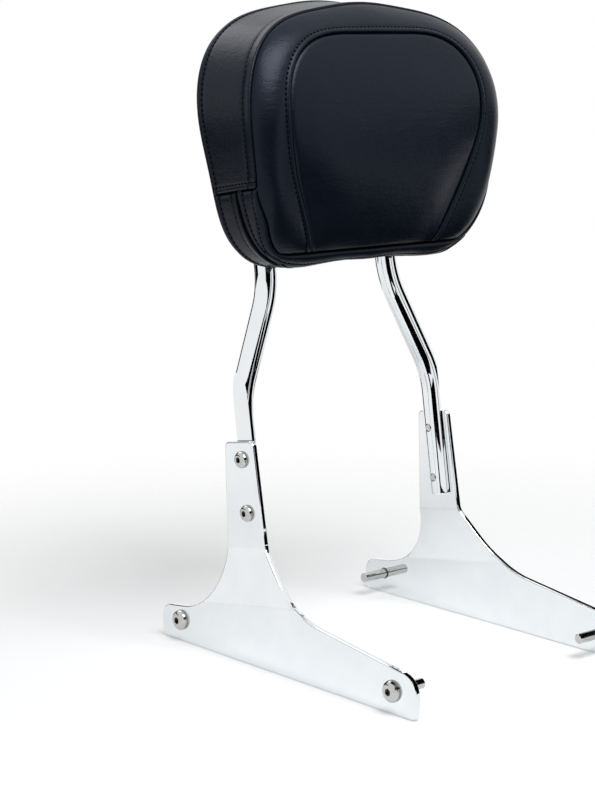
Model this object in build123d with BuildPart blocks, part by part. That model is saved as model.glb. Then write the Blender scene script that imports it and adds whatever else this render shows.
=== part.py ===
"""Sissy bar: a bent bar on two joggled side plates, with a boxed and zipped backrest pad.

Millimetres. +X is the sitter's left, -Y the way the pad faces, +Z up. The origin is midway between
the two side plates, on the line of the bolts through their flanges.
"""
import os
from math import cos, radians, sin, sqrt

from build123d import *

os.makedirs("parts", exist_ok=True)

# Upright: one round bar bent into a hoop that leans back, flattened outboard at its feet
bar_diameter = 19.05
flat_depth = 9.5
leg_spacing = 218.0
hoop_spacing = 137.0
lean = 8.85
upright_bolt_y = 58.0
upright_bolt_z = 150.0
foot_below_bolt = 60.0
lower_bend_height = 49.0
upper_bend_height = 137.0
hoop_height = 325.0
leg_bend_radius = 80.0
hoop_corner_radius = 45.0
foot_chamfer = 1.2

# Side plates: pressed steel sheet, stepped outwards between tongue and flange
plate_thickness = 5.0
joggle = 8.0
upper_fold_below_bolt = 74.0
lower_fold_below_bolt = 121.0
fold_radius = 9.0
plate_edge_radius = 1.3
flange_bolt_spacing = 262.0
flange_below_bolt = 18.5
tongue_above_bolt = 15.0
tongue_ahead = 15.6
tongue_behind = 20.4
tongue_rear_y = 76.0
tongue_corner_radius = 5.0
flare_y = 29.2
flare_z = 79.0
flare_radius = 15.0
front_waist_y = -15.3
front_waist_z = 34.5
front_waist_radius = 98.0
rear_waist_z = 19.5
rear_waist_radius = 56.0
nose_reach = 28.0
nose_top_z = 14.5
nose_slope = 3.0
nose_top_radius = 18.0
heel_reach = 26.0
heel_top_z = 9.5
heel_radius = 12.0
toe_radius = 5.0

# Button-head socket screws: 5/16 in at the upright, 3/8 in at the flanges
upright_bolt_pitch = 44.45
upright_bolt_diameter = 7.94
upright_thread_diameter = 7.02
upright_head_diameter = 14.0
upright_head_height = 4.2
upright_land_diameter = 7.2
upright_socket = 4.76
upright_socket_depth = 2.5
flange_bolt_diameter = 9.53
flange_thread_diameter = 8.49
flange_bolt_length = 31.75
flange_head_diameter = 17.5
flange_head_height = 5.1
flange_land_diameter = 8.4
flange_socket = 5.56
flange_socket_depth = 3.1
head_rim = 0.6
bolt_tip_chamfer = 0.8
bolt_hole_clearance = 0.4
thread_clearance = 0.1

# Pad outline, seen from the front: its corners before rounding, each from the one below it
pad_below_strap = 38.1
pad_side_half = 143.4
pad_side_rise = 110.5
pad_side_radius = 150.0
pad_bottom_inset = 24.4
pad_bottom_radius = 65.0
pad_shoulder_inset = 17.8
pad_shoulder_rise = 81.5
pad_shoulder_radius = 56.0
pad_apex_rise = 21.5
pad_apex_radius = 300.0

# Pad depth: a crowned face, a rolled front edge and boxing back to a leaning rear face
pad_depth = 82.8
crown_rise = 105.5
crown_radius = 300.0
front_roll = 13.0
back_roll = 5.0
seam_past_roll = 1.0
cover_thickness = 1.5

# Cover panels: insert outline inside the pad's, cross seam of the boxing and the zip below it
insert_bottom_inset = 47.0
insert_side_inset = 30.4
insert_side_rise = 12.0
insert_side_radius = 110.0
insert_top_inset = 24.6
insert_top_drop = 24.0
insert_top_radius = 36.0
cross_seam_rise = 61.5
zip_before_back = 56.0
zip_width = 6.0
zip_thickness = 0.9
slider_x = 45.0
slider_length = 10.0
slider_width = 5.0
slider_height = 2.0
slider_corner = 1.5

# Pad fixing: plywood board, two straps across the hoop, screws into tee nuts
board_thickness = 9.5
board_inset = 16.0
strap_thickness = 4.76
strap_width = 32.0
strap_overlap = 6.5
strap_corner_radius = 4.0
strap_pitch = 68.0
upper_strap_drop = 57.0
pad_screw_spacing = 76.0
pad_screw_diameter = 6.35
pad_screw_flats = 11.1
pad_screw_head = 4.4
pad_screw_chamfer = 0.7
washer_diameter = 16.0
washer_thickness = 1.5
tee_nut_flange = 19.0
tee_nut_flange_thickness = 1.5
tee_nut_barrel = 8.0
barrel_clearance = 0.1

# Places that follow from those sizes
bar_radius = bar_diameter / 2
lean_sin = sin(radians(lean))
lean_cos = cos(radians(lean))
tongue_inner_x = leg_spacing / 2 + bar_radius - flat_depth
tongue_outer_x = tongue_inner_x + plate_thickness
flange_inner_x = tongue_inner_x + joggle
flange_outer_x = flange_inner_x + plate_thickness
flange_bolt_y = flange_bolt_spacing / 2
strap_front = bar_radius + strap_thickness

# The hoop's own plane: local X across, local Y up the lean, local Z out of its front
hoop_plane = Plane(
    origin=(0, upright_bolt_y, upright_bolt_z),
    x_dir=(1, 0, 0),
    z_dir=(0, -lean_cos, lean_sin),
)
front_axis = Axis(hoop_plane.origin, hoop_plane.z_dir)


def along_lean(rearward, upward):
    """Give (y, z) of a point that far behind and above the upper upright bolt, in the leaning frame."""
    y = upright_bolt_y + rearward * lean_cos + upward * lean_sin
    z = upright_bolt_z - rearward * lean_sin + upward * lean_cos
    return y, z


def facing_out(side, x, points):
    """Give a place at each (y, z), that far out on that side, with its own Z axis pointing outwards."""
    return [Location((side * x, y, z), (0, side * 90, 0)) for y, z in points]


upright_bolt_points = [along_lean(0, 0), along_lean(0, -upright_bolt_pitch)]
flange_bolt_points = [(-flange_bolt_y, 0), (flange_bolt_y, 0)]
upper_strap_height = hoop_height - upper_strap_drop
lower_strap_height = upper_strap_height - strap_pitch
strap_heights = [lower_strap_height, upper_strap_height]
pad_screw_sides = [-pad_screw_spacing / 2, pad_screw_spacing / 2]
pad_screw_points = [(x, height) for height in strap_heights for x in pad_screw_sides]


# Upright bar: swept along the hoop, milled flat outboard and cross drilled at its two feet
with BuildPart() as upright_bar:
    with BuildLine(hoop_plane) as hoop_path:
        FilletPolyline(
            (-leg_spacing / 2, -foot_below_bolt),
            (-leg_spacing / 2, lower_bend_height),
            (-hoop_spacing / 2, upper_bend_height),
            (-hoop_spacing / 2, hoop_height),
            (hoop_spacing / 2, hoop_height),
            (hoop_spacing / 2, upper_bend_height),
            (leg_spacing / 2, lower_bend_height),
            (leg_spacing / 2, -foot_below_bolt),
            radius=[
                leg_bend_radius,
                leg_bend_radius,
                hoop_corner_radius,
                hoop_corner_radius,
                leg_bend_radius,
                leg_bend_radius,
            ],
        )
    with BuildSketch(Plane(origin=hoop_path.line @ 0, z_dir=hoop_path.line % 0)):
        Circle(bar_radius)
    sweep()
    chamfer(upright_bar.faces().sort_by(Axis.Z)[:2].edges(), length=foot_chamfer)
    for side in (-1, 1):
        with BuildSketch(Plane.YZ.offset(side * tongue_inner_x)):
            with Locations((upright_bolt_y, upright_bolt_z)):
                Rectangle(4 * foot_below_bolt, 2 * upper_bend_height)
        extrude(amount=side * bar_diameter, mode=Mode.SUBTRACT)
        with Locations(facing_out(side, tongue_inner_x, upright_bolt_points)):
            Cylinder(upright_thread_diameter / 2 + thread_clearance, 2 * bar_diameter, mode=Mode.SUBTRACT)
upright_bar.part.label = "upright_bar"
export_step(upright_bar.part, "parts/upright_bar.step")


# Side plates: the bent sheet is cut to the plate's outline, drilled and rounded along its edges
def plate_outline():
    """Give the outline's corners (y, z) in order round the plate, and the radius at each."""
    nose_y = -flange_bolt_y - nose_reach
    heel_y = flange_bolt_y + heel_reach
    return [
        (along_lean(-tongue_ahead, tongue_above_bolt), tongue_corner_radius),
        (along_lean(tongue_behind, tongue_above_bolt), tongue_corner_radius),
        ((tongue_rear_y, rear_waist_z), rear_waist_radius),
        ((heel_y, heel_top_z), heel_radius),
        ((heel_y, -flange_below_bolt), toe_radius),
        ((nose_y + nose_slope, -flange_below_bolt), toe_radius),
        ((nose_y, nose_top_z), nose_top_radius),
        ((front_waist_y, front_waist_z), front_waist_radius),
        ((flare_y, flare_z), flare_radius),
    ]


def is_rim(edge):
    """Tell an edge of the plate's outline from a fold line and from an edge across its thickness."""
    across = edge.length < 2 * plate_thickness and abs(edge.tangent_at(0.5).X) > 0.9
    folds = abs(edge.tangent_at(0.5).dot(hoop_plane.z_dir)) > 0.9999
    return not across and not (folds and edge.center().Z < upright_bolt_z)


with BuildPart() as left_side_plate:
    with BuildSketch(hoop_plane):
        with BuildLine():
            FilletPolyline(
                (tongue_inner_x, 2 * tongue_above_bolt),
                (tongue_inner_x, -upper_fold_below_bolt),
                (flange_inner_x, -lower_fold_below_bolt),
                (flange_inner_x, -2 * lower_fold_below_bolt),
                radius=fold_radius,
            )
            offset(amount=plate_thickness, side=Side.LEFT)
        make_face()
    extrude(amount=2 * flange_bolt_spacing, both=True)
    with BuildSketch(Plane.YZ):
        with BuildLine():
            FilletPolyline(
                *[corner for corner, radius in plate_outline()],
                radius=[radius for corner, radius in plate_outline()],
                close=True,
            )
        make_face()
    extrude(amount=2 * flange_outer_x, mode=Mode.INTERSECT)
    fillet([edge for edge in left_side_plate.edges() if is_rim(edge)], radius=plate_edge_radius)
    with Locations(facing_out(1, flange_inner_x, flange_bolt_points)):
        Cylinder(flange_bolt_diameter / 2 + bolt_hole_clearance, 4 * plate_thickness, mode=Mode.SUBTRACT)
    with Locations(facing_out(1, tongue_inner_x, upright_bolt_points)):
        Cylinder(upright_bolt_diameter / 2 + bolt_hole_clearance, 4 * plate_thickness, mode=Mode.SUBTRACT)
left_side_plate.part.label = "left_side_plate"
export_step(left_side_plate.part, "parts/left_side_plate.step")

with BuildPart() as right_side_plate:
    mirror(left_side_plate.part, about=Plane.YZ)
right_side_plate.part.label = "right_side_plate"
export_step(right_side_plate.part, "parts/right_side_plate.step")


# Button-head screws: a domed head with a hexagon socket, a shank through the plate, then its thread
def button_screw(shank, thread, length, head_diameter, head_height, land_diameter, socket, socket_depth):
    """Make one screw, its head on the XY plane, its shank down -Z and its thread at the pitch diameter."""
    rim = head_diameter / 2
    land = land_diameter / 2
    with BuildPart() as screw:
        with BuildSketch(Plane.XZ):
            with BuildLine():
                Polyline((land, head_height), (0, head_height), (0, 0), (rim, 0), (rim, head_rim))
                TangentArc((rim, head_rim), (land, head_height), tangent=(0, 1))
            make_face()
        revolve(axis=Axis.Z)
        with BuildSketch():
            Circle(shank / 2)
        extrude(amount=-plate_thickness)
        with BuildSketch():
            Circle(thread / 2)
        extrude(amount=-length)
        chamfer(screw.faces().sort_by(Axis.Z)[0].edges(), length=bolt_tip_chamfer)
        with BuildSketch(Plane.XY.offset(head_height)):
            RegularPolygon(socket / 2, 6, major_radius=False)
        extrude(amount=-socket_depth, mode=Mode.SUBTRACT)
    return screw.part


upright_screw = button_screw(
    upright_bolt_diameter,
    upright_thread_diameter,
    plate_thickness + bar_diameter - flat_depth,
    upright_head_diameter,
    upright_head_height,
    upright_land_diameter,
    upright_socket,
    upright_socket_depth,
)
flange_screw = button_screw(
    flange_bolt_diameter,
    flange_thread_diameter,
    flange_bolt_length,
    flange_head_diameter,
    flange_head_height,
    flange_land_diameter,
    flange_socket,
    flange_socket_depth,
)

for side_name, side in (("right", -1), ("left", 1)):
    with BuildPart() as upright_bolts:
        with Locations(facing_out(side, tongue_outer_x, upright_bolt_points)):
            add(upright_screw)
    upright_bolts.part.label = side_name + "_upright_bolts"
    export_step(upright_bolts.part, "parts/" + side_name + "_upright_bolts.step")

    with BuildPart() as flange_bolts:
        with Locations(facing_out(side, flange_outer_x, flange_bolt_points)):
            add(flange_screw)
    flange_bolts.part.label = side_name + "_flange_bolts"
    export_step(flange_bolts.part, "parts/" + side_name + "_flange_bolts.step")


# Pad straps: flat bars welded across the front of the hoop's legs, drilled for the pad screws
for strap_name, height in zip(("lower_pad_strap", "upper_pad_strap"), strap_heights):
    with BuildPart() as strap:
        with BuildSketch(hoop_plane.offset(bar_radius)):
            with Locations((0, height)):
                RectangleRounded(hoop_spacing + 2 * strap_overlap, strap_width, strap_corner_radius)
                with GridLocations(pad_screw_spacing, 1, 2, 1):
                    Circle(pad_screw_diameter / 2 + bolt_hole_clearance, mode=Mode.SUBTRACT)
        extrude(amount=strap_thickness)
    strap.part.label = strap_name
    export_step(strap.part, "parts/" + strap_name + ".step")


# Pad body: the outline run front to back, crowned in front, cut along the lean behind, its rims rolled
pad_bottom_z = along_lean(0, lower_strap_height)[1] - pad_below_strap
pad_side_z = pad_bottom_z + pad_side_rise
pad_shoulder_z = pad_side_z + pad_shoulder_rise
pad_apex_z = pad_shoulder_z + pad_apex_rise
pad_bottom_half = pad_side_half - pad_bottom_inset
pad_shoulder_half = pad_side_half - pad_shoulder_inset
pad_reach = 2 * (pad_side_half + pad_apex_z)

# The crown's foremost line, ahead of the straps by the pad's depth
crown_z = pad_bottom_z + crown_rise
crown_height = (crown_z - upright_bolt_z - strap_front * lean_sin) / lean_cos
crown_y = along_lean(-strap_front, crown_height)[0] - pad_depth
front_seam_setback = front_roll + seam_past_roll
zip_setback = pad_depth - zip_before_back


def pad_outline(inset):
    """Draw the pad's outline, seen from the front, that far inside its edge."""
    half = [
        (pad_bottom_half, pad_bottom_z, pad_bottom_radius),
        (pad_side_half, pad_side_z, pad_side_radius),
        (pad_shoulder_half, pad_shoulder_z, pad_shoulder_radius),
    ]
    corners = half + [(0, pad_apex_z, pad_apex_radius)] + [(-x, z, r) for x, z, r in reversed(half)]
    points = [(x, z) for x, z, r in corners]
    with BuildSketch(Plane.XZ) as outline:
        with BuildLine():
            FilletPolyline(*points, radius=[r for x, z, r in corners], close=True)
        make_face()
        if inset:
            offset(amount=-inset, mode=Mode.REPLACE)
    return outline.sketch


def crown(setback):
    """Make the round body whose front is the pad's crowned face, that far behind it."""
    with BuildPart() as body:
        with BuildSketch(Plane.YZ):
            with Locations((crown_y + setback + crown_radius, crown_z)):
                Circle(crown_radius)
        extrude(amount=pad_reach, both=True)
    return body.part


def pad_form(inset):
    """Make the pad's rounded body, that far inside the cover's outer face."""
    with BuildPart() as form:
        extrude(pad_outline(inset), amount=pad_reach, both=True)
        add(crown(inset), mode=Mode.INTERSECT)
        split(bisect_by=hoop_plane.offset(strap_front + inset), keep=Keep.TOP)
        fillet(form.faces().sort_by(Axis.Y)[0].edges(), radius=front_roll - inset)
        fillet(form.faces().sort_by(Axis.Y)[-1].edges(), radius=back_roll - inset)
    return form.part


pad_core = pad_form(cover_thickness)
with BuildPart() as cover_shell:
    add(pad_form(0))
    add(pad_core, mode=Mode.SUBTRACT)

# Pad board: plywood sheet inside the back of the pad, bored for the tee nuts
board_back = hoop_plane.offset(strap_front + cover_thickness)
board_front = board_back.offset(board_thickness)
with BuildPart() as pad_board:
    extrude(pad_outline(board_inset), amount=pad_reach, both=True)
    split(bisect_by=board_back, keep=Keep.TOP)
    split(bisect_by=board_front, keep=Keep.BOTTOM)
    with BuildSketch(board_front):
        with Locations(pad_screw_points):
            Circle(tee_nut_barrel / 2 + barrel_clearance)
    extrude(amount=-2 * board_thickness, mode=Mode.SUBTRACT)
pad_board.part.label = "pad_board"
export_step(pad_board.part, "parts/pad_board.step")

# Tee nuts: threaded barrels in the board, their flanges against its front
with BuildPart() as pad_tee_nuts:
    with BuildSketch(board_front):
        with Locations(pad_screw_points):
            Circle(tee_nut_barrel / 2)
    extrude(amount=-board_thickness)
    with BuildSketch(board_front):
        with Locations(pad_screw_points):
            Circle(tee_nut_flange / 2)
    extrude(amount=tee_nut_flange_thickness)
    with BuildSketch(board_front.offset(tee_nut_flange_thickness)):
        with Locations(pad_screw_points):
            Circle(pad_screw_diameter / 2 + thread_clearance)
    extrude(amount=-2 * board_thickness, mode=Mode.SUBTRACT)
pad_tee_nuts.part.label = "pad_tee_nuts"
export_step(pad_tee_nuts.part, "parts/pad_tee_nuts.step")

# Washers under the screw heads, on the back of the straps
with BuildPart() as pad_washers:
    with BuildSketch(hoop_plane.offset(bar_radius)):
        with Locations(pad_screw_points):
            Circle(washer_diameter / 2)
            Circle(pad_screw_diameter / 2 + bolt_hole_clearance, mode=Mode.SUBTRACT)
    extrude(amount=-washer_thickness)
pad_washers.part.label = "pad_washers"
export_step(pad_washers.part, "parts/pad_washers.step")

# Pad screws: hexagon heads on the washers, shanks through strap and cover into the tee nuts
screw_seat = hoop_plane.offset(bar_radius - washer_thickness)
clamped_thickness = washer_thickness + strap_thickness + cover_thickness + board_thickness
pad_screw_length = clamped_thickness + tee_nut_flange_thickness
with BuildPart() as pad_screws:
    with BuildSketch(screw_seat):
        with Locations(pad_screw_points):
            RegularPolygon(pad_screw_flats / 2, 6, major_radius=False)
    extrude(amount=-pad_screw_head)
    chamfer(pad_screws.faces().group_by(front_axis)[0].edges(), length=pad_screw_chamfer)
    with BuildSketch(screw_seat):
        with Locations(pad_screw_points):
            Circle(pad_screw_diameter / 2)
    extrude(amount=pad_screw_length)
pad_screws.part.label = "pad_screws"
export_step(pad_screws.part, "parts/pad_screws.step")

# Foam: fills the cover in front of the board and round its edges, relieved over the tee nuts
with BuildPart() as pad_foam:
    add(pad_core)
    add(pad_board.part, mode=Mode.SUBTRACT)
    with BuildSketch(board_front):
        with Locations(pad_screw_points):
            Circle(tee_nut_flange / 2)
    extrude(amount=tee_nut_flange_thickness, mode=Mode.SUBTRACT)
    with BuildSketch(board_back):
        with Locations(pad_screw_points):
            Circle(tee_nut_barrel / 2 + barrel_clearance)
    extrude(amount=board_thickness, mode=Mode.SUBTRACT)
pad_foam.part.label = "pad_foam"
export_step(pad_foam.part, "parts/pad_foam.step")


# Cover, front: a crowned insert sewn into a border that rolls round to the boxing
def insert_outline():
    """Draw the insert panel's outline, seen from the front, open at the pad's bottom edge."""
    half = [
        (pad_bottom_half - insert_bottom_inset, pad_bottom_z, 0),
        (pad_side_half - insert_side_inset, pad_side_z + insert_side_rise, insert_side_radius),
        (pad_shoulder_half - insert_top_inset, pad_apex_z - insert_top_drop, insert_top_radius),
    ]
    corners = half + [(-x, z, r) for x, z, r in reversed(half)]
    points = [(x, z) for x, z, r in corners]
    with BuildSketch(Plane.XZ) as outline:
        with BuildLine():
            FilletPolyline(*points, radius=[r for x, z, r in corners], close=True)
        make_face()
    return outline.sketch


with BuildPart() as cover_insert:
    add(cover_shell.part)
    add(crown(front_seam_setback), mode=Mode.SUBTRACT)
    extrude(insert_outline(), amount=pad_reach, both=True, mode=Mode.INTERSECT)
cover_insert.part.label = "cover_insert"
export_step(cover_insert.part, "parts/cover_insert.step")

with BuildPart() as cover_border:
    add(cover_shell.part)
    add(crown(front_seam_setback), mode=Mode.SUBTRACT)
    extrude(insert_outline(), amount=pad_reach, both=True, mode=Mode.SUBTRACT)
cover_border.part.label = "cover_border"
export_step(cover_border.part, "parts/cover_border.step")

# Cover, sides: one boxing strip over the top, and two flaps round the bottom with the zip between
rear_seam = hoop_plane.offset(strap_front + back_roll + seam_past_roll)
cross_seam = Plane.XY.offset(pad_bottom_z + cross_seam_rise)
with BuildPart() as cover_boxing:
    add(cover_shell.part)
    add(crown(front_seam_setback), mode=Mode.INTERSECT)
    split(bisect_by=rear_seam, keep=Keep.TOP)
    split(bisect_by=cross_seam, keep=Keep.TOP)
cover_boxing.part.label = "cover_boxing"
export_step(cover_boxing.part, "parts/cover_boxing.step")

with BuildPart() as cover_front_flap:
    add(cover_shell.part)
    add(crown(front_seam_setback), mode=Mode.INTERSECT)
    add(crown(zip_setback), mode=Mode.SUBTRACT)
    split(bisect_by=cross_seam, keep=Keep.BOTTOM)
cover_front_flap.part.label = "cover_front_flap"
export_step(cover_front_flap.part, "parts/cover_front_flap.step")

with BuildPart() as cover_rear_flap:
    add(cover_shell.part)
    add(crown(zip_setback + zip_width), mode=Mode.INTERSECT)
    split(bisect_by=rear_seam, keep=Keep.TOP)
    split(bisect_by=cross_seam, keep=Keep.BOTTOM)
cover_rear_flap.part.label = "cover_rear_flap"
export_step(cover_rear_flap.part, "parts/cover_rear_flap.step")

# Cover, back: one panel on the straps, pierced for the pad screws
with BuildPart() as cover_back:
    add(cover_shell.part)
    split(bisect_by=rear_seam, keep=Keep.BOTTOM)
    with BuildSketch(board_back):
        with Locations(pad_screw_points):
            Circle(pad_screw_diameter / 2 + bolt_hole_clearance)
    extrude(amount=-2 * cover_thickness, mode=Mode.SUBTRACT)
cover_back.part.label = "cover_back"
export_step(cover_back.part, "parts/cover_back.step")

# Zip: its tape lies in the slot between the flaps, below their faces, and its slider under the pad
with BuildPart() as zip_tape:
    add(pad_form(cover_thickness - zip_thickness))
    add(pad_core, mode=Mode.SUBTRACT)
    add(crown(zip_setback), mode=Mode.INTERSECT)
    add(crown(zip_setback + zip_width), mode=Mode.SUBTRACT)
    split(bisect_by=cross_seam, keep=Keep.BOTTOM)
zip_tape.part.label = "zip_tape"
export_step(zip_tape.part, "parts/zip_tape.step")

crown_drop = crown_radius - sqrt(crown_radius**2 - (crown_z - pad_bottom_z) ** 2)
slider_y = crown_y + crown_drop + zip_setback + zip_width / 2
with BuildPart() as zip_slider:
    with BuildSketch(Plane.XY.offset(pad_bottom_z + cover_thickness - zip_thickness)):
        with Locations((slider_x, slider_y)):
            RectangleRounded(slider_length, slider_width, slider_corner)
    extrude(amount=-slider_height)
zip_slider.part.label = "zip_slider"
export_step(zip_slider.part, "parts/zip_slider.step")
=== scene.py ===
"""Looks of the sissy bar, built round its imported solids: chrome plate, steel screws and a sewn vinyl pad."""

import bpy
import numpy as np
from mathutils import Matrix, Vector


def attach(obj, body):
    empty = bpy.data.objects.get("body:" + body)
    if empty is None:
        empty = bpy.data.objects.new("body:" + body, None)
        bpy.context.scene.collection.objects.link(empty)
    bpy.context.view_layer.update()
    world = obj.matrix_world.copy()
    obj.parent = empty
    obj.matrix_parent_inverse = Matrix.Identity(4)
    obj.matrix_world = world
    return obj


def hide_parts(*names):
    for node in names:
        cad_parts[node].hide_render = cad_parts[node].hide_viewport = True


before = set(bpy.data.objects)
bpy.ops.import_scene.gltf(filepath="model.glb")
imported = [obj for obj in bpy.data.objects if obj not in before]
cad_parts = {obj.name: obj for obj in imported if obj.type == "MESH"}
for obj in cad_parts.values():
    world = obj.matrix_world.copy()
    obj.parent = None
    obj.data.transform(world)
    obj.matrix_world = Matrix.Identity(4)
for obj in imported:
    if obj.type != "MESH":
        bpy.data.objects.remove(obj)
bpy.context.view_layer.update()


# ---- Upright bar, side plates and straps ----
# Bent round bar, pressed side plates and flat straps of mild steel, ground, buffed and chrome plated.
# Their solids have the right shape, so they stay as they are and only take the plating.
def linear(code):
    """Turn an sRGB hex colour into linear RGBA by the sRGB curve."""
    c = np.array([int(code[i:i + 2], 16) for i in (1, 3, 5)]) / 255
    return (*np.where(c <= 0.04045, c / 12.92, ((c + 0.055) / 1.055) ** 2.4).tolist(), 1.0)


def node(tree, kind, inputs=None, **settings):
    """Add one node: settings are its own properties, inputs are values for its sockets or sockets to link."""
    made = tree.nodes.new(kind)
    for name, value in settings.items():
        setattr(made, name, value)
    for name, value in (inputs or {}).items():
        if isinstance(value, bpy.types.NodeSocket):
            tree.links.new(value, made.inputs[name])
        else:
            made.inputs[name].default_value = value
    return made


def finish(name):
    """Start a material and give its node tree and its main shader."""
    made = bpy.data.materials.new(name)
    made.use_nodes = True
    return made, made.node_tree, made.node_tree.nodes["Principled BSDF"]


def coat(names, material):
    """Put a material on these solids in place of their plain one."""
    for name in names:
        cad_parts[name].data.materials.clear()
        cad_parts[name].data.materials.append(material)


# Bright chrome: a near mirror with a cool cast, a trace of buffing haze and the faint waviness of ground steel
chrome, tree, shader = finish("polished_chrome_plate")
place = node(tree, "ShaderNodeTexCoord").outputs["Object"]
haze = node(tree, "ShaderNodeTexNoise", {"Vector": place, "Scale": 1 / 0.004, "Detail": 3.0})
ripple = node(tree, "ShaderNodeTexNoise", {"Vector": place, "Scale": 1 / 0.022, "Detail": 1.0})
gloss = node(tree, "ShaderNodeMapRange", {
    "Value": haze.outputs["Fac"], "From Min": 0.35, "From Max": 0.7, "To Min": 0.025, "To Max": 0.06})
tint = node(tree, "ShaderNodeMix", {
    "Factor": ripple.outputs["Fac"], "A": linear("#E3E8EB"), "B": linear("#EFF1F2")}, data_type="RGBA")
swell = node(tree, "ShaderNodeBump", {
    "Height": ripple.outputs["Fac"], "Strength": 0.05, "Distance": 0.0004})
tree.links.new(tint.outputs["Result"], shader.inputs["Base Color"])
tree.links.new(gloss.outputs["Result"], shader.inputs["Roughness"])
tree.links.new(swell.outputs["Normal"], shader.inputs["Normal"])
shader.inputs["Metallic"].default_value = 1.0
coat(["upright_bar", "right_side_plate", "left_side_plate", "lower_pad_strap", "upper_pad_strap"], chrome)


# ---- Button-head screws ----
# Eight stainless screws with domed heads and hexagon sockets: two through each tongue into the bar and
# two through each flange. The heads are turned and tumbled, so they are a little softer than the chrome,
# and painted shade, with some oily grime, darkens their sockets and the joint under each head.
stainless, tree, shader = finish("turned_stainless_steel")
place = node(tree, "ShaderNodeTexCoord").outputs["Object"]
grit = node(tree, "ShaderNodeTexNoise", {"Vector": place, "Scale": 1 / 0.0012, "Detail": 2.0})
gloss = node(tree, "ShaderNodeMapRange", {
    "Value": grit.outputs["Fac"], "From Min": 0.3, "From Max": 0.7, "To Min": 0.08, "To Max": 0.16})
tint = node(tree, "ShaderNodeMix", {
    "Factor": grit.outputs["Fac"], "A": linear("#B4B4B2"), "B": linear("#CBCBC9")}, data_type="RGBA")
# Painted shade: an ambient-occlusion mask darkens the steel's colour towards near black in the sockets and
# under each head
shade = node(tree, "ShaderNodeAmbientOcclusion", {"Distance": 0.004}, samples=8)
reach = node(tree, "ShaderNodeMapRange", {"Value": shade.outputs["AO"], "From Min": 0.3, "From Max": 0.85})
tint = node(tree, "ShaderNodeMix", {
    "Factor": reach.outputs["Result"], "A": linear("#1C1917"), "B": tint.outputs["Result"]}, data_type="RGBA")
tree.links.new(tint.outputs["Result"], shader.inputs["Base Color"])
tree.links.new(gloss.outputs["Result"], shader.inputs["Roughness"])
shader.inputs["Metallic"].default_value = 1.0
coat(["right_upright_bolts", "left_upright_bolts", "right_flange_bolts", "left_flange_bolts"], stainless)


# ---- Pad screws, washers and tee nuts ----
# Four hexagon screws with washers draw the pad on to the straps; their tee nuts sit in the pad's board.
# They are bright zinc plated, which leaves a grey shine with patchy bluish and yellowish spangle.
zinc, tree, shader = finish("bright_zinc_plate")
place = node(tree, "ShaderNodeTexCoord").outputs["Object"]
spangle = node(tree, "ShaderNodeTexVoronoi", {"Vector": place, "Scale": 1 / 0.003})
tint = node(tree, "ShaderNodeMix", {
    "Factor": spangle.outputs["Distance"], "A": linear("#A9B0B4"), "B": linear("#C2C0B4")}, data_type="RGBA")
gloss = node(tree, "ShaderNodeMapRange", {
    "Value": spangle.outputs["Distance"], "From Max": 0.8, "To Min": 0.24, "To Max": 0.4})
tree.links.new(tint.outputs["Result"], shader.inputs["Base Color"])
tree.links.new(gloss.outputs["Result"], shader.inputs["Roughness"])
shader.inputs["Metallic"].default_value = 1.0
coat(["pad_screws", "pad_washers", "pad_tee_nuts"], zinc)


# ---- Pad board ----
# A plywood sheet inside the back of the pad, sawn to its outline and bored for the tee nuts.
# Bare birch ply: pale veneers with long darker grain; the bands its plies make on the edge are not drawn.
ply, tree, shader = finish("bare_birch_plywood")
place = node(tree, "ShaderNodeTexCoord").outputs["Object"]
run = node(tree, "ShaderNodeMapping", {"Vector": place, "Scale": (1.0, 1.0, 0.08)})
veins = node(tree, "ShaderNodeTexNoise", {"Vector": run.outputs["Vector"], "Scale": 1 / 0.004, "Detail": 4.0})
tint = node(tree, "ShaderNodeMix", {
    "Factor": veins.outputs["Fac"], "A": linear("#B98F5F"), "B": linear("#DDBF92")}, data_type="RGBA")
tree.links.new(tint.outputs["Result"], shader.inputs["Base Color"])
shader.inputs["Roughness"].default_value = 0.7
coat(["pad_board"], ply)


# ---- Foam ----
# One block of upholstery foam, cut to the pad's outline, crowned in front and rolled over at its rim.
# It fills the cover ahead of the board. Open cells give it a matt, finely pitted cream skin.
# Lengths in mm: the face's crown, its rolled rim, the lean of the hoop's plane and a point on it, the turn-in
# at the rear rim, then the dip along the insert's seam and how far from the middle that seam lies
crown_y, crown_z, crown_radius, cross_radius = 0.1, 409.6, 225.0, 2580.0
roll_width, roll_depth = 24.6, 11.5
lean_sin, lean_cos = 0.153846, 0.988095
hoop_y, hoop_z = 58, 150
pad_middle = np.array([0.0, 45.0, 412.0])
rear_tuck, rear_flare, half_height = 0.9, 2.6, 105
dip_z, dip_above, dip_below, dip_depth, dip_width = 378, 38, 60, 6.5, 22
seam_half, seam_half_z, seam_half_most = 97, 390, 106


def even_outline(waves, count=2048):
    """Sample a closed front-view line at equal lengths, from the bottom middle through the sitter's left side.

    Its radius about the pad's middle is the sum of waves[k] cos(k a), with a the angle from straight down."""
    a = np.linspace(0, 2 * np.pi, 20001)
    radius = np.cos(np.outer(a, np.arange(len(waves)))) @ np.array(waves)
    line = np.stack([radius * np.sin(a), pad_middle[2] - radius * np.cos(a)], 1)
    run = np.append(0, np.cumsum(np.linalg.norm(np.diff(line, axis=0), axis=1)))
    return np.stack([np.interp(np.arange(count) * run[-1] / count, run, line[:, i]) for i in (0, 1)], 1)


outline = even_outline([127.2, 0.79, -18.6, -1.96, -7.08, -2.75, 2.39, 1.42, 1.03, 0.12, -0.11])
heading = np.roll(outline, -1, 0) - np.roll(outline, 1, 0)
heading /= np.linalg.norm(heading, axis=1)[:, None]
inward = np.stack([-heading[:, 1], heading[:, 0]], 1)
rear_inset = rear_tuck - rear_flare * ((outline[:, 1] - pad_middle[2]) / half_height) ** 2


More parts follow.
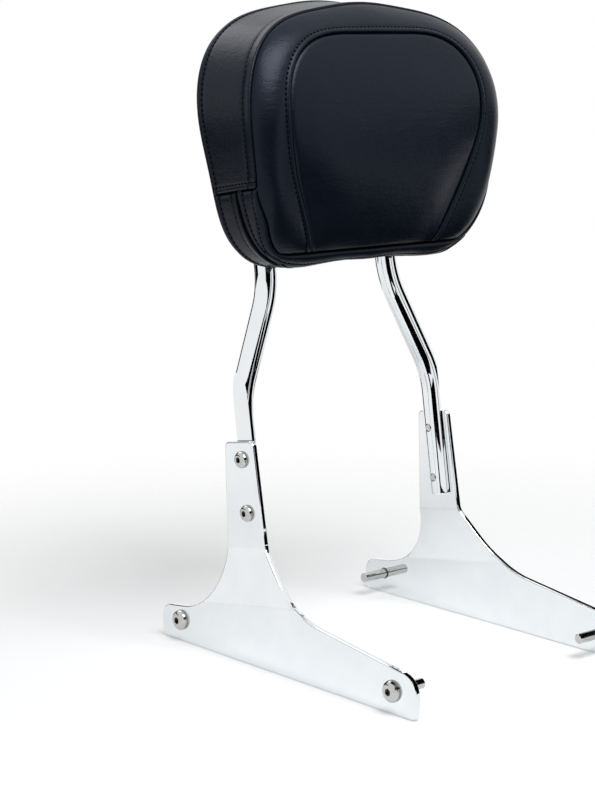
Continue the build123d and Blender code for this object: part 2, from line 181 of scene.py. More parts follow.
def round_outline(t, table):
    """Read a closed table at t, from 0 at the bottom middle through the sitter's left side to 1."""
    steps = np.linspace(0, 1, len(table) + 1)
    closed = np.concatenate([table, table[:1]])
    if table.ndim == 1:
        return np.interp(t, steps, closed)
    return np.stack([np.interp(t, steps, closed[:, i]) for i in range(table.shape[1])], -1)


def inside_by(x, z):
    """Distance of each front-view point from the outline's nearest point."""
    points = np.stack([x.ravel(), z.ravel()], 1)
    parts = [np.sqrt(((part[:, None] - outline[None, ::2]) ** 2).sum(2).min(1))
             for part in np.array_split(points, 1 + len(points) // 2000)]
    return np.concatenate(parts).reshape(x.shape)


def face_depth(x, z):
    """Depth of the pad's face: an arc of the crown's radius up and down, a flat parabola across, and a
    Gaussian dip on each side where the insert's seam draws it in."""
    arc = crown_radius - np.sqrt(crown_radius**2 - (z - crown_z) ** 2)
    seam_x = np.minimum(seam_half + (z - seam_half_z) / 2, seam_half_most)
    reach = np.where(z > dip_z, dip_above, dip_below)
    drawn = dip_depth * np.exp(-(((z - dip_z) / reach) ** 2) - ((np.abs(x) - seam_x) / dip_width) ** 2)
    return crown_y + arc + x**2 / (2 * cross_radius) + drawn


def roll_drop(inset):
    """How far the face has dropped at that inset from the outline: a power of 2.5, so it ends in an edge."""
    return roll_depth * np.clip(1 - inset / roll_width, 0, 1) ** 2.5


def turn_drop(inset):
    """The same for the turn on to the pad's side behind the front seam: a quarter of an ellipse."""
    return roll_depth * (1 - np.sqrt(1 - np.clip(1 - inset / roll_width, 0, 1) ** 2))


def turn_inset(drop):
    """The inset at which that ellipse has dropped so far: the same ellipse the other way round."""
    return roll_width * (1 - np.sqrt(1 - np.clip(1 - drop / roll_depth, 0, 1) ** 2))


def plane_depth(z, ahead):
    """Depth at height z of the plane that leans with the hoop, that far ahead of the hoop's own plane."""
    return hoop_y + ((z - hoop_z) * lean_sin - ahead) / lean_cos


def face_point(x, z):
    """Put front-view points on the pad's face: the crowned depth plus the drop of the rolled rim."""
    return np.stack([x, face_depth(x, z) + roll_drop(inside_by(x, z)), z], -1)


def face_normal(points):
    """Unit normals of the pad's face at its points, from its slopes by differences over 0.2 mm."""
    x, z = points[..., 0], points[..., 2]
    across = (face_point(x + 0.1, z) - face_point(x - 0.1, z))[..., 1] / 0.2
    upward = (face_point(x, z + 0.1) - face_point(x, z - 0.1))[..., 1] / 0.2
    normal = np.stack([across, -np.ones_like(x), upward], -1)
    return normal / np.linalg.norm(normal, axis=-1, keepdims=True)


def outward(points, closed=False):
    """Unit normals of a grid of points: the cross product of its two directions, away from the pad's middle."""
    if closed:
        along = np.roll(points, -1, 0) - np.roll(points, 1, 0)
    else:
        along = np.gradient(points, axis=0)
    normal = np.cross(along, np.gradient(points, axis=1))
    normal /= np.linalg.norm(normal, axis=-1, keepdims=True) + 1e-9
    turned = ((points - pad_middle) * normal).sum() < 0
    return (-normal if turned else normal), turned


def grid_faces(count, rows, closed=False, poles=()):
    """Point numbers of a grid and its quads: closed joins the last column to the first, poles lists the end
    rows that shrink to one point."""
    ids = np.arange(count * rows).reshape(count, rows)
    for row in poles:
        ids[:, row] = ids[0, row]
    if closed:
        ids = np.vstack([ids, ids[:1]])
    return ids, np.stack([ids[:-1, :-1], ids[1:, :-1], ids[1:, 1:], ids[:-1, 1:]], -1).reshape(-1, 4)


def surface(name, points, material, closed=False, poles=(), wall=0.0):
    """Make a grid of points in mm into a mesh piece, its faces outwards; wall is its thickness, inwards."""
    quads = grid_faces(*points.shape[:2], closed, poles)[1]
    if outward(points, closed)[1]:
        quads = quads[:, ::-1]
    used, faces = np.unique(quads, return_inverse=True)
    faces = [list(dict.fromkeys(face)) for face in faces.reshape(-1, 4).tolist()]
    mesh = bpy.data.meshes.new(name)
    mesh.from_pydata((points.reshape(-1, 3)[used] / 1000).tolist(), [], faces)
    mesh.polygons.foreach_set("use_smooth", np.ones(len(mesh.polygons), bool))
    mesh.materials.append(material)
    piece = bpy.data.objects.new(name, mesh)
    bpy.context.scene.collection.objects.link(piece)
    if wall:
        sheet = piece.modifiers.new("sheet thickness", "SOLIDIFY")
        sheet.thickness, sheet.offset = wall / 1000, -1.0
    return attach(piece, "root")


foam_skin, tree, shader = finish("open_cell_foam")
place = node(tree, "ShaderNodeTexCoord").outputs["Object"]
cells = node(tree, "ShaderNodeTexVoronoi", {"Vector": place, "Scale": 1 / 0.0015})
tint = node(tree, "ShaderNodeMix", {
    "Factor": cells.outputs["Distance"], "A": linear("#B9AC86"), "B": linear("#E6DCBB")}, data_type="RGBA")
pits = node(tree, "ShaderNodeBump", {"Height": cells.outputs["Distance"], "Strength": 0.5, "Distance": 0.0006})
tree.links.new(tint.outputs["Result"], shader.inputs["Base Color"])
tree.links.new(pits.outputs["Normal"], shader.inputs["Normal"])
shader.inputs["Roughness"].default_value = 0.95

foam_gap, board_ahead = 8.0, 27.0
t, k = np.meshgrid(np.arange(180) / 180, np.linspace(0, 1, 22), indexing="ij")
rim = round_outline(t, outline) + foam_gap * round_outline(t, inward)
front = pad_middle[[0, 2]] + np.sin(k * np.pi / 2)[..., None] * (rim - pad_middle[[0, 2]])
front = face_point(front[..., 0], front[..., 1]) + [0, foam_gap, 0]
behind = plane_depth(rim[..., 1], board_ahead)
side = np.stack([rim[..., 0], front[:, -1:, 1] + k * (behind - front[:, -1:, 1]), rim[..., 1]], -1)
rear = pad_middle[[0, 2]] + (1 - k)[..., None] * (rim - pad_middle[[0, 2]])
rear = np.stack([rear[..., 0], plane_depth(rear[..., 1], board_ahead), rear[..., 1]], -1)
foam = surface("foam_core", np.concatenate([front, side[:, 1:-1:3], rear[:, ::3]], 1), foam_skin, True, (0, -1))
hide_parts("pad_foam")


# ---- Cover panels ----
# Grained vinyl cut in six panels: a front insert, the border round it, a boxing strip over the top, two
# flaps round the bottom with the zip between them, and a back. Raw edges are turned in and topstitched.
# Lengths in mm: the bottom seam's height, the front seam's inset and how it draws in round the lower corners
bottom_seam_z, least_rise = 318.8, 0.2
front_seam_inset = 0.25
corner_z, corner_run, corner_inset, corner_blend, corner_x = 375.0, 36, 6.0, 1.5, 98.0
# The rear seam, the back and the zip slot, by how far they lie ahead of the hoop's plane or of the rear seam
rear_seam_ahead, back_ahead = 20.3, 14.8
zip_ahead, zip_width = 32.5, 5.5
under_x, under_run, under_ahead = 105, 50, 14.2
# The cross seam's height, and the depths between which it crosses each panel
cross_seam_z, cross_y = 371.0, 44
front_y, slot_y, slot_end_y, rear_y = 15, 39, 45, 72
# The border's roll in radians and how it ends, the share of the back that curls, the folds and the vinyl
roll_angle, bend_share, tuck_run, least_tuck, most_tuck = 1.43, 0.06, 6, 0.15, 0.9
curl_share = 0.08
seam_depth, wall = 2.9, 1.2

# The front seam keeps close inside the outline, draws in towards the lower corners and runs level below
lower = np.clip((corner_z - outline[:, 1]) / corner_run, 0, 1)
seam_inset = front_seam_inset + corner_inset * lower**2 * (3 - 2 * lower)
short = (bottom_seam_z - outline[:, 1]) / np.maximum(inward[:, 1], least_rise) - seam_inset
seam_inset = seam_inset + corner_blend * np.logaddexp(0, short / corner_blend)
front_seam = outline + seam_inset[:, None] * inward
front_seam_y = face_depth(front_seam[:, 0], front_seam[:, 1]) + roll_drop(seam_inset)

# The insert's seam, from the sitter's left end of the bottom seam over the top to the right end
insert_seam = even_outline([108.38, 15.52, 4.29, 15.15, 1.11, 1.1, 1.17, -0.41, -0.02, -0.09], 8192)
insert_seam = insert_seam[insert_seam[:, 1] > bottom_seam_z]


def along_seam(u):
    """Points of the insert's seam at the share u of its length; past its ends it runs straight on."""
    share, last = np.clip(u, 0, 1), len(insert_seam) - 1
    start, stop = insert_seam[1] - insert_seam[0], insert_seam[-1] - insert_seam[-2]
    ends = np.where(u[..., None] < 0.5, start, stop) * last
    line = np.stack([np.interp(share * last, np.arange(last + 1), insert_seam[:, i]) for i in (0, 1)], -1)
    return line + (u - share)[..., None] * ends


def insert_shape(u, v):
    """Insert panel: rings from its edge, v 0, to its middle, v 1. The last sixth of u is its bottom edge."""
    low = np.clip((u - 5 / 6) * 6, 0, 1)[..., None]
    edge = along_seam(np.clip(u * 6 / 5, 0, 1)) + low * (insert_seam[0] - insert_seam[-1])
    ring = edge + v[..., None] * (pad_middle[[0, 2]] - edge)
    return face_point(ring[..., 0], ring[..., 1])


foot_t, corner_t = (np.argmax(front_seam[:, 0] > x) / len(outline) for x in (insert_seam[0, 0], corner_x))


def border_shape(u, v):
    """Border panel: u runs from one bottom corner over the top to the other, v from insert to front seam.

    v advances by the sine of an angle, which spaces it evenly over the roll, and it runs on past the
    seam where that lies well inside the outline. Both ends of u are bent on to the front seam."""
    t = corner_t + u * (1 - 2 * corner_t)
    inner, outer = along_seam(u), round_outline(t, front_seam)
    past = np.clip((round_outline(t, seam_inset) - 1) / tuck_run, least_tuck, most_tuck)
    reach = np.where(v > 1, 1 + past * (v - 1), np.sin(v * roll_angle) / np.sin(roll_angle))[..., None]
    band = inner + reach * (outer - inner)
    first, last = insert_seam[0], round_outline(np.array(corner_t), front_seam)
    on_seam = round_outline(foot_t + reach[..., 0] * (corner_t - foot_t), front_seam)
    bend = on_seam - first - reach * (last - first)
    bend = bend * np.clip(1 - np.minimum(u, 1 - u) / bend_share, 0, 1)[..., None] ** 2
    band = band + bend * np.stack([np.where(u < 0.5, 1, -1), np.ones_like(u)], -1)
    return face_point(band[..., 0], band[..., 1])


def side_shape(t, y):
    """A point of the pad's side at t round the outline and depth y: the turn's ellipse, then back to the rear
    rim along a parabola."""
    front = round_outline(t, front_seam_y)
    back = np.clip((y - front) / (rear_depth(t) - front), 0, 1)
    turn = turn_inset(y - front + turn_drop(round_outline(t, seam_inset)))
    inset = turn + back**2 * round_outline(t, rear_inset)
    rim = round_outline(t, outline) + inset[..., None] * round_outline(t, inward)
    return np.stack([rim[..., 0], y, rim[..., 1]], -1)


def zip_depth(t):
    """Depth of the zip slot's front edge: so far ahead of the rear seam, but further back under the pad."""
    k = np.clip((under_x - np.abs(round_outline(t, outline)[..., 0])) / under_run, 0, 1)
    return rear_depth(t) - zip_ahead + (zip_ahead - under_ahead) * k**2 * (3 - 2 * k)


def rear_depth(t):
    """Depth of the rear seam, on a plane that leans with the hoop."""
    return plane_depth(round_outline(t, outline)[..., 1], rear_seam_ahead)


cross_t = np.argmax(outline[:, 1] > cross_seam_z) / len(outline)
girth = np.linalg.norm(outline - np.roll(outline, 1, 0), axis=1).sum()


def cross_at(y):
    """Place t of the cross seam at depth y: square to the leaning back, so lower towards the rear."""
    return cross_t - (y - cross_y) * lean_sin / lean_cos / girth


def boxing_shape(u, v):
    """Boxing: u runs over the top from one cross seam to the other, v from the front seam to the rear one."""
    edge = cross_at(front_y + (rear_y - front_y) * v)
    t = edge + u * (1 - 2 * edge)
    y = round_outline(t, front_seam_y)
    return side_shape(t, y + v * (rear_depth(t) - y))


def front_flap_shape(u, v):
    """Front flap: u runs under the pad from cross seam to cross seam, v from the front seam to the zip."""
    t = (2 * u - 1) * cross_at(front_y + (slot_y - front_y) * v) % 1
    y = round_outline(t, front_seam_y)
    return side_shape(t, y + v * (zip_depth(t) - y))


def rear_flap_shape(u, v):
    """Rear flap: u as in the front flap, v from the zip to the rear seam."""
    t = (2 * u - 1) * cross_at(slot_end_y + (rear_y - slot_end_y) * v) % 1
    y = zip_depth(t) + zip_width
    return side_shape(t, y + v * (rear_depth(t) - y))


def back_shape(u, v):
    """Back panel: v from the rear seam round a quarter circle, then straight across to the middle."""
    radius = rear_seam_ahead - back_ahead
    curl = np.clip(v / curl_share, -1, 1) * np.pi / 2
    inset = round_outline(u, rear_inset) + radius * (1 - np.cos(curl))
    rim = round_outline(u, outline) + inset[..., None] * round_outline(u, inward)
    flat = np.clip((v - curl_share) / (1 - curl_share), 0, 1)[..., None]
    rim = rim + flat * (pad_middle[[0, 2]] - rim)
    y = plane_depth(rim[..., 1], rear_seam_ahead - radius * np.sin(curl))
    return np.stack([rim[..., 0], y, rim[..., 1]], -1)


# Each panel: its shape, whether it closes on itself, cells of its coarse cloth, and how far it may swell
panels = {
    "insert_panel": (insert_shape, True, 72, 14, 3.0),
    "border_panel": (border_shape, False, 96, 6, 1.2),
    "boxing_panel": (boxing_shape, False, 84, 10, 1.2),
    "front_flap": (front_flap_shape, False, 72, 4, 1.0),
    "rear_flap": (rear_flap_shape, False, 72, 6, 1.5),
}


def puffed(panels):
    """Blow the panels up as cloth sewn down along their edges, and give each one's swelling as a grid.

    All panels are one cloth of separate sheets, pinned at their edges, under pressure from within and
    without gravity. The swelling is the part of each point's move along its normal, capped."""
    stiffness, pressure, last_frame, most_sunk = 25, 4, 20, -1.0
    starts, normals, places, faces, sewn, first = [], [], [], [], [], 0
    for shape, closed, columns, rows, _ in panels.values():
        steps = np.arange(columns + (not closed)) / columns
        points = shape(*np.meshgrid(steps, np.linspace(0, 1, rows + 1), indexing="ij"))
        normal, turned = outward(points, closed)
        ids, quads = grid_faces(*points.shape[:2], closed, (-1,) if closed else ())
        edges = [ids[:, 0]] if closed else [ids[:, 0], ids[:, -1], ids[0], ids[-1]]
        sewn.append(first + np.concatenate(edges))
        faces += (first + (quads[:, ::-1] if turned else quads)).tolist()
        starts.append(points), normals.append(normal), places.append(first + ids[:len(points)])
        first += points[..., 0].size
    mesh = bpy.data.meshes.new("cloth")
    everything = np.concatenate([points.reshape(-1, 3) for points in starts])
    mesh.from_pydata((everything / 1000).tolist(), [], [list(dict.fromkeys(face)) for face in faces])
    cloth = bpy.data.objects.new("cloth", mesh)
    bpy.context.scene.collection.objects.link(cloth)
    cloth.vertex_groups.new(name="sewn").add(np.concatenate(sewn).tolist(), 1.0, "REPLACE")
    settings = cloth.modifiers.new("cloth", "CLOTH").settings
    settings.vertex_group_mass = "sewn"
    settings.tension_stiffness = settings.compression_stiffness = stiffness
    settings.use_pressure = True
    settings.uniform_pressure_force = pressure
    settings.effector_weights.gravity = 0
    for step in range(1, last_frame + 1):
        bpy.context.scene.frame_set(step)
    blown = cloth.evaluated_get(bpy.context.evaluated_depsgraph_get()).data
    moved = np.zeros(len(blown.vertices) * 3)
    blown.vertices.foreach_get("co", moved)
    moved = moved.reshape(-1, 3) * 1000
    bpy.context.scene.frame_set(1)
    bpy.data.objects.remove(cloth)
    bpy.data.meshes.remove(mesh)
    swellings = {}
    for (name, panel), points, normal, ids in zip(panels.items(), starts, normals, places):
        rise = ((moved[ids] - points) * normal).sum(-1)
        rise = np.clip(rise, most_sunk, panel[-1])
        swellings[name] = np.concatenate([rise, rise[:1]]) if panel[1] else rise
    return swellings


def between(grid, u, v):
    """Read a coarse grid at shares u, v of its sides, by a Catmull-Rom curve through four points each way."""
    def four(share, count):
        """Four neighbours of a share along one side, each with its weight."""
        x = np.clip(share, 0, 1) * (count - 1)
        low = np.minimum(x.astype(int), count - 2)
        f = x - low
        weights = [-f**3 + 2 * f**2 - f, 3 * f**3 - 5 * f**2 + 2, -3 * f**3 + 4 * f**2 + f, f**3 - f**2]
        return [(np.clip(low + i - 1, 0, count - 1), w / 2) for i, w in enumerate(weights)]
    return sum(grid[i, j] * a * b for i, a in four(u, grid.shape[0]) for j, b in four(v, grid.shape[1]))


swellings = puffed(panels)
# Sewn edges in mm, but stitch_at is a place in the list of an edge's rows
hem_depth, stitch_at, edge_gap = 4.0, 9, 0.12
lip_height, groove_depth, groove_width = 0.8, 0.9, 0.65


def turned_edge(stitch):
    """Distances from a folded edge and the heights there: a hem turned straight in, a round nose, a raised lip
    and, at number stitch_at of the list, a stitch groove."""
    e = np.array([-0.02, 0, 0.05, 0.2, 0.5, 1.0, 1.8,
                  stitch - 1.2, stitch - 0.5, stitch, stitch + 0.5, stitch + 1.2])
    nose = seam_depth * (1 - np.sqrt(1 - np.clip(1 - e, 0, 1) ** 2)) + hem_depth * (e < 0)
    fade = np.clip((e - stitch + 1) / 2.4, 0, 1)
    lip = lip_height * (1 - fade**2 * (3 - 2 * fade))
    return e + edge_gap, lip - nose - groove_depth * np.exp(-(((e - stitch) / groove_width) ** 2))


def tucked_edge(reach=1.5):
    """Distances from an edge that goes on under its neighbour's fold, and the heights there: a dip that fades
    by 1/e over the reach."""
    e = np.array([-2.0, -1.0, 0, 0.4, 1.0, 2.0, 3.4, 5.4])
    return e + edge_gap, -(seam_depth + 0.2) * np.exp(-np.maximum(e, 0) / reach)


def graded(length, near, far, middle):
    """Shares of a length in mm at which rows lie: close together at each edge and even between them."""
    length = np.atleast_1d(np.asarray(length, float))[:, None]
    start, stop = near[-1] / length, 1 - (far[-1] / length if len(far) else 0)
    k = np.linspace(0, 1, middle + 2)[1:(-1 if len(far) else None)]
    return np.concatenate([near / length, start + k * (stop - start), 1 - far[::-1] / length], 1)


stitch_rows = []


def sewn_panel(name, columns, middle, near, far=None, ends=None):
    """Make one cover panel: its shape, plus its swelling and the heights of its sewn edges along the normal.

    near, far and ends are the (distances, heights) of its edges at v 0, v 1 and both ends of u."""
    shape, closed = panels[name][:2]
    none = (np.zeros(0), np.zeros(0))
    far, ends = far or none, ends or none
    if closed:
        u, rise_u = np.arange(columns) / columns, np.zeros(columns)
    else:
        line = shape(np.linspace(0, 1, 400), np.full(400, 0.5))
        length = np.linalg.norm(np.diff(line, axis=0), axis=1).sum()
        u = graded(length, ends[0], ends[0], columns)[0]
        rise_u = np.concatenate([ends[1], np.zeros(columns), ends[1][::-1]])
    across = shape(*np.meshgrid(u, np.linspace(0, 1, 30), indexing="ij"))
    width = np.linalg.norm(np.diff(across, axis=1), axis=2).sum(1)
    v = graded(width, near[0], far[0], middle)
    rise_v = np.concatenate([near[1], np.zeros(middle + (not len(far[0]))), far[1][::-1]])
    u = np.repeat(u[:, None], v.shape[1], 1)
    points = shape(u, v)
    normal = face_normal(points) if name in ("insert_panel", "border_panel") else outward(points, closed)[0]
    low, high = np.minimum(rise_u[:, None], rise_v), np.maximum(rise_u[:, None], rise_v)
    rise = np.minimum(low, 0) + np.maximum(high, 0)
    if name in swellings:
        rise = rise + between(swellings[name], u, v)
    if name == "back_panel":
        normal[:, -1] = normal[:, -2].mean(0) / np.linalg.norm(normal[:, -2].mean(0))
    points = points + rise[..., None] * normal
    piece = surface(name, points, vinyl, closed, (-1,) if closed else (), wall)
    return piece, points, normal


# Calendered vinyl: blue-black, satin, with a pressed leather grain that breaks up the highlights and faint
# level creases from being drawn over the foam. The real grain is too fine to show, so it is drawn coarser.
vinyl, tree, shader = finish("grained_black_vinyl")
place = node(tree, "ShaderNodeTexCoord").outputs["Object"]
grain = node(tree, "ShaderNodeTexVoronoi", {"Vector": place, "Scale": 1 / 0.0016}, feature="SMOOTH_F1")
patch = node(tree, "ShaderNodeTexNoise", {"Vector": place, "Scale": 1 / 0.018, "Detail": 3.0})
tint = node(tree, "ShaderNodeMix", {
    "Factor": patch.outputs["Fac"], "A": linear("#070C15"), "B": linear("#0C121D")}, data_type="RGBA")
gloss = node(tree, "ShaderNodeMapRange", {
    "Value": patch.outputs["Fac"], "From Min": 0.3, "From Max": 0.7, "To Min": 0.32, "To Max": 0.36})
stretch = node(tree, "ShaderNodeMapping", {"Vector": place, "Scale": (0.25, 0.6, 1.0)})
crease = node(tree, "ShaderNodeTexNoise", {
    "Vector": stretch.outputs["Vector"], "Scale": 1 / 0.004, "Detail": 3.0})
folds = node(tree, "ShaderNodeBump", {
    "Height": crease.outputs["Fac"], "Strength": 0.35, "Distance": 0.0006})
press = node(tree, "ShaderNodeBump", {
    "Height": grain.outputs["Distance"], "Strength": 0.35, "Distance": 0.00025,
    "Normal": folds.outputs["Normal"]})
tree.links.new(tint.outputs["Result"], shader.inputs["Base Color"])
tree.links.new(gloss.outputs["Result"], shader.inputs["Roughness"])
tree.links.new(press.outputs["Normal"], shader.inputs["Normal"])
shader.inputs["Specular IOR Level"].default_value = 0.2
shader.inputs["Specular Tint"].default_value = linear("#DCE8FF")

insert = sewn_panel("insert_panel", 300, 18, tucked_edge(1.0))[0]
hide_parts("cover_insert")

border, points, normal = sewn_panel("border_panel", 330, 9, turned_edge(3.8), tucked_edge(), tucked_edge())
stitch_rows.append((points[:, stitch_at], normal[:, stitch_at]))
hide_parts("cover_border")

boxing, points, normal = sewn_panel(
    "boxing_panel", 300, 12, turned_edge(9.0), turned_edge(4.5), turned_edge(5.0))
both_edges = (stitch_at, -1 - stitch_at)
stitch_rows += [(points[:, i], normal[:, i]) for i in both_edges] + [(points[i], normal[i]) for i in both_edges]
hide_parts("cover_boxing")

flap, points, normal = sewn_panel("front_flap", 230, 5, turned_edge(5.5), turned_edge(3.2), tucked_edge())
stitch_rows += [(points[:, i], normal[:, i]) for i in both_edges]
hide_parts("cover_front_flap")

flap, points, normal = sewn_panel("rear_flap", 230, 8, turned_edge(6.0), turned_edge(4.5), tucked_edge())
stitch_rows += [(points[:, i], normal[:, i]) for i in both_edges]
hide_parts("cover_rear_flap")

panels["back_panel"] = (back_shape, True)
back_piece = sewn_panel("back_panel", 300, 26, tucked_edge())[0]
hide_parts("cover_back")


# ---- Zip ----
# A black nylon coil zip runs in the slot between the flaps, from cross seam to cross seam under the pad.
# Its woven tape is sewn below the flaps' edges, and its enamelled slider rests under the pad.
tape, tree, shader = finish("woven_polyester_tape")
place = node(tree, "ShaderNodeTexCoord").outputs["Object"]
threads = node(tree, "ShaderNodeTexNoise", {"Vector": place, "Scale": 1 / 0.0008, "Detail": 2.0})
tint = node(tree, "ShaderNodeMix", {
    "Factor": threads.outputs["Fac"], "A": linear("#0B0C0D"), "B": linear("#17181A")}, data_type="RGBA")
weave = node(tree, "ShaderNodeBump", {"Height": threads.outputs["Fac"], "Strength": 0.4, "Distance": 0.0002})
tree.links.new(tint.outputs["Result"], shader.inputs["Base Color"])
tree.links.new(weave.outputs["Normal"], shader.inputs["Normal"])
shader.inputs["Roughness"].default_value = 0.75

# The coil's turns lie wider apart than a real zip's, which are too fine to show
coil_pitch, coil_share, coil_height, coil_ridge = 2.4, 0.36, 1.0, 0.35
tape_sink, tape_overlap, past_cross_seam = 2.3, 2.0, 0.006
end_sink, end_start, end_run = 1.6, 0.96, 0.02
u, v = np.meshgrid(np.linspace(0, 1, 1100), np.linspace(-1, 1, 17), indexing="ij")
t = (2 * u - 1) * (cross_t + past_cross_seam) % 1
points = side_shape(t, zip_depth(t) + zip_width / 2 + v * (zip_width / 2 + tape_overlap))
normal = outward(points)[0]
run = np.append(0, np.cumsum(np.linalg.norm(np.diff(points[:, 8], axis=0), axis=1)))[:, None]
ridges = coil_height + coil_ridge * np.sin(2 * np.pi * (run / coil_pitch + 0.5 * np.sign(v)))
coil = np.clip(1 - (np.abs(v) / coil_share) ** 4, 0, 1) * ridges
sink = tape_sink + end_sink * np.clip((np.abs(2 * u - 1) - end_start) / end_run, 0, 1)
zip_piece = surface("zip_tape_and_coil", points + (coil - sink)[..., None] * normal, tape, wall=0.6)
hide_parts("zip_tape")

enamel, tree, shader = finish("black_enamel")
place = node(tree, "ShaderNodeTexCoord").outputs["Object"]
chips = node(tree, "ShaderNodeTexNoise", {"Vector": place, "Scale": 1 / 0.002, "Detail": 2.0})
gloss = node(tree, "ShaderNodeMapRange", {"Value": chips.outputs["Fac"], "To Min": 0.2, "To Max": 0.4})
tree.links.new(gloss.outputs["Result"], shader.inputs["Roughness"])
shader.inputs["Base Color"].default_value = linear("#1A1B1D")
coat(["zip_slider"], enamel)


# ---- Topstitching ----
# Lockstitch in black bonded thread along every folded edge, each stitch a short twist that arches over
# the groove and dives into the vinyl at both ends.
thread, tree, shader = finish("bonded_black_thread")
place = node(tree, "ShaderNodeTexCoord").outputs["Object"]
twist = node(tree, "ShaderNodeTexNoise", {"Vector": place, "Scale": 1 / 0.0006, "Detail": 1.0})
tint = node(tree, "ShaderNodeMix", {
    "Factor": twist.outputs["Fac"], "A": linear("#010102"), "B": linear("#050608")}, data_type="RGBA")
tree.links.new(tint.outputs["Result"], shader.inputs["Base Color"])
shader.inputs["Roughness"].default_value = 0.8
shader.inputs["Specular IOR Level"].default_value = 0.04

stitch_pitch, stitch_length, thread_width, arch, dive = 4.2, 3.2, 1.3, 0.3, 0.5


def stitches(row, normal):
    """Stitches along a row: rings round each stitch's line, thickest in the middle, sunk by the square of
    the distance from it."""
    run = np.append(0, np.cumsum(np.linalg.norm(np.diff(row, axis=0), axis=1)))
    count = int(run[-1] / stitch_pitch)
    spots = (np.arange(count) + 0.5) * run[-1] / count

    def read(table, s):
        """Read a table of the row's points at the distances s along it."""
        return np.stack([np.interp(s, run, table[:, i]) for i in range(3)], -1)

    middle, ahead, up = read(row, spots), read(row, spots + 1) - read(row, spots - 1), read(normal, spots)
    ahead, up = (a / np.linalg.norm(a, axis=1)[:, None] for a in (ahead, up))
    side = np.cross(ahead, up)
    k, a = np.linspace(-1, 1, 6)[:, None], np.arange(6) * np.pi / 3
    thick = thread_width / 2 * np.sqrt(1 - 0.95 * k**4)
    shape = [k * stitch_length / 2 + 0 * a, arch - dive * k**2 + thick * np.sin(a), thick * np.cos(a)]
    return middle[:, None, None] + sum(
        n[..., None] * axis[:, None, None] for n, axis in zip(shape, (ahead, up, side)))


# Each stitch is six rings of six points, closed by two quads over each end
rings = np.concatenate([stitches(*row) for row in stitch_rows])
ids = np.arange(36).reshape(6, 6)
ids = np.hstack([ids, ids[:, :1]])
one = np.stack([ids[:-1, :-1], ids[1:, :-1], ids[1:, 1:], ids[:-1, 1:]], -1).reshape(-1, 4)
one = np.vstack([one, [[0, 1, 2, 3], [0, 3, 4, 5], [33, 32, 31, 30], [35, 34, 33, 30]]])
faces = (np.arange(len(rings))[:, None, None] * 36 + one).reshape(-1, 4)
mesh = bpy.data.meshes.new("topstitching")
mesh.from_pydata((rings.reshape(-1, 3) / 1000).tolist(), [], faces.tolist())
mesh.polygons.foreach_set("use_smooth", np.ones(len(mesh.polygons), bool))
mesh.materials.append(thread)
stitching = bpy.data.objects.new("topstitching", mesh)
bpy.context.scene.collection.objects.link(stitching)
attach(stitching, "root")


# ---- Stage ----
# A pale floor under the plates' lower edges, soft light from above and the photograph's viewpoint.
# Black flag cards, seen only in reflections, draw the dark lines on the chrome as a studio's flags do.
floor_z = -0.0185
camera = bpy.data.objects.new("camera", bpy.data.cameras.new("camera"))
bpy.context.scene.collection.objects.link(camera)
eye = np.array([-1.19359, -1.25212, 0.49927])
azimuth, elevation = np.radians(-41.03), np.radians(10.01)
right = np.array([np.cos(azimuth), np.sin(azimuth), 0])
back = np.array([np.sin(azimuth) * np.cos(elevation), -np.cos(azimuth) * np.cos(elevation), np.sin(elevation)])
stand = np.eye(4)
stand[:3] = np.stack([right, np.cross(back, right), back, eye], 1)
camera.matrix_world = Matrix(stand.tolist())
camera.data.lens, camera.data.sensor_width = 95.0, 36.0
bpy.context.scene.camera = camera
bpy.context.scene.view_settings.view_transform = "Standard"

world = bpy.data.worlds.new("studio")
bpy.context.scene.world = world
world.use_nodes = True
tree = world.node_tree
path = node(tree, "ShaderNodeLightPath")
seen = node(tree, "ShaderNodeMath", {0: path.outputs["Is Camera Ray"], 1: path.outputs["Is Glossy Ray"]},
            operation="MAXIMUM")
seen = node(tree, "ShaderNodeMath", {0: seen.outputs[0], 1: path.outputs["Is Transmission Ray"]},
            operation="MAXIMUM")
level = node(tree, "ShaderNodeMapRange", {"Value": seen.outputs[0], "To Min": 0.35, "To Max": 1.0})
tree.links.new(level.outputs["Result"], tree.nodes["Background"].inputs["Strength"])
tree.nodes["Background"].inputs["Color"].default_value = (1, 1, 1, 1)

pale, tree, shader = finish("pale_floor")
shader.inputs["Base Color"].default_value = linear("#E6E7E8")
shader.inputs["Roughness"].default_value = 0.8
path = node(tree, "ShaderNodeLightPath")
seen = node(tree, "ShaderNodeMath", {0: path.outputs["Is Camera Ray"], 1: path.outputs["Is Glossy Ray"]},
            operation="MAXIMUM")
glow = node(tree, "ShaderNodeMath", {0: seen.outputs[0], 1: 0.2}, operation="MULTIPLY")
tree.links.new(glow.outputs[0], shader.inputs["Emission Strength"])
place = node(tree, "ShaderNodeTexCoord").outputs["Object"]
reach = node(tree, "ShaderNodeVectorMath", {0: place}, operation="LENGTH")
fade = node(tree, "ShaderNodeMapRange", {
    "Value": reach.outputs["Value"], "From Min": 0.25, "From Max": 0.9, "To Min": 1.0, "To Max": 0.0},
    interpolation_type="SMOOTHSTEP")
tree.links.new(fade.outputs["Result"], shader.inputs["Alpha"])
shader.inputs["Emission Color"].default_value = (1, 1, 1, 1)
mesh = bpy.data.meshes.new("floor")
mesh.from_pydata([(-6, -6, floor_z), (6, -6, floor_z), (6, 6, floor_z), (-6, 6, floor_z)], [], [(0, 1, 2, 3)])
mesh.materials.append(pale)
floor = bpy.data.objects.new("floor", mesh)
bpy.context.scene.collection.objects.link(floor)

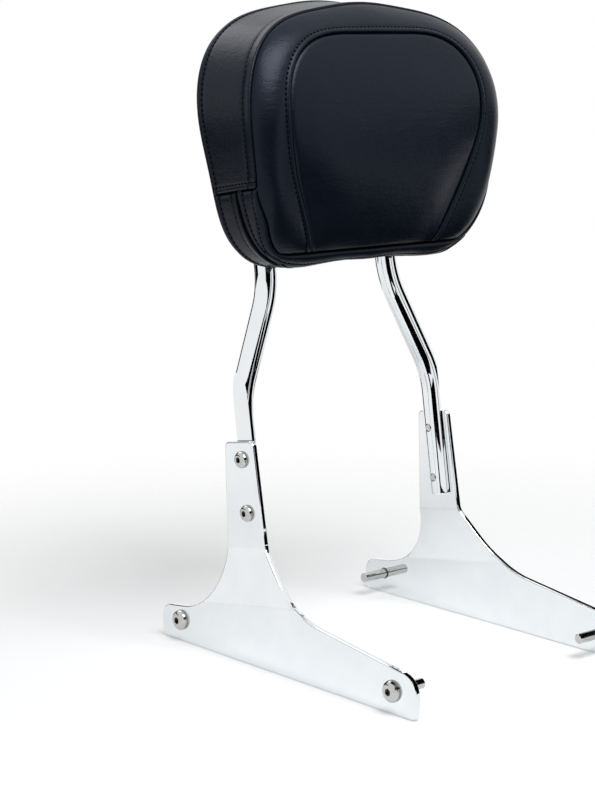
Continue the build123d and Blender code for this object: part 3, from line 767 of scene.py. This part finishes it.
card, tree, shader = finish("black_flag_cloth")
shader.inputs["Base Color"].default_value = linear("#050505")
shader.inputs["Roughness"].default_value = 1.0
shader.inputs["Specular IOR Level"].default_value = 0.0
corners = np.array([(i, j, k) for i in (0, 1) for j in (0, 1) for k in (0, 1)])
sides = [(0, 1, 3, 2), (4, 6, 7, 5), (0, 4, 5, 1), (2, 3, 7, 6), (0, 2, 6, 4), (1, 5, 7, 3)]
for name, low, high in (
        ("flag_before_the_pad", (-0.15, -0.7, 0.06), (0.6, -0.1, 0.1)),
        ("flag_in_front", (-0.55, -0.51, 0.165), (0.03, -0.5, 0.52)),
        ("flag_at_the_far_end", (1.1, -1.2, 0.1), (1.12, -0.2, 0.5)),
        ("flag_between_the_legs", (-0.05, -0.05, 0.1), (0.0, -0.045, 0.29)),
        ("flag_beside", (-1.0, 0.79, 0.1), (-0.55, 0.8, 0.26)),
        ("flag_beside_the_pad", (-1.35, 0.81, 0.17), (-0.35, 0.82, 0.36)),
        ("flag_beyond_the_legs", (0.14, -0.1, 0.06), (0.6, 0.08, 0.1)),
        ("flag_strip_in_front", (0.68, -2.4, -0.8), (0.94, -2.35, 1.6)),
        ("flag_strip_behind", (-0.85, 2.5, -0.8), (0.0, 2.52, 1.6))):
    mesh = bpy.data.meshes.new(name)
    mesh.from_pydata((np.array(low) + corners * (np.array(high) - low)).tolist(), [], sides)
    mesh.materials.append(card)
    flag = bpy.data.objects.new(name, mesh)
    bpy.context.scene.collection.objects.link(flag)
    flag.visible_camera = flag.visible_diffuse = flag.visible_shadow = flag.visible_transmission = False

for name, spot, aim, size, watts in (
        ("front_softbox", (-0.12, -0.88, 1.6), (0, 0, 0.4), 1.0, 26.0),
        ("rear_softbox", (0.0, 1.05, 1.35), (0, 0.1, 0.4), 0.7, 2.6)):
    lamp = bpy.data.lights.new(name, "AREA")
    lamp.energy, lamp.size = watts, size
    holder = bpy.data.objects.new(name, lamp)
    bpy.context.scene.collection.objects.link(holder)
    gaze = Vector(aim) - Vector(spot)
    holder.matrix_world = Matrix.Translation(spot) @ gaze.to_track_quat("-Z", "Y").to_matrix().to_4x4()
    holder.visible_camera = False
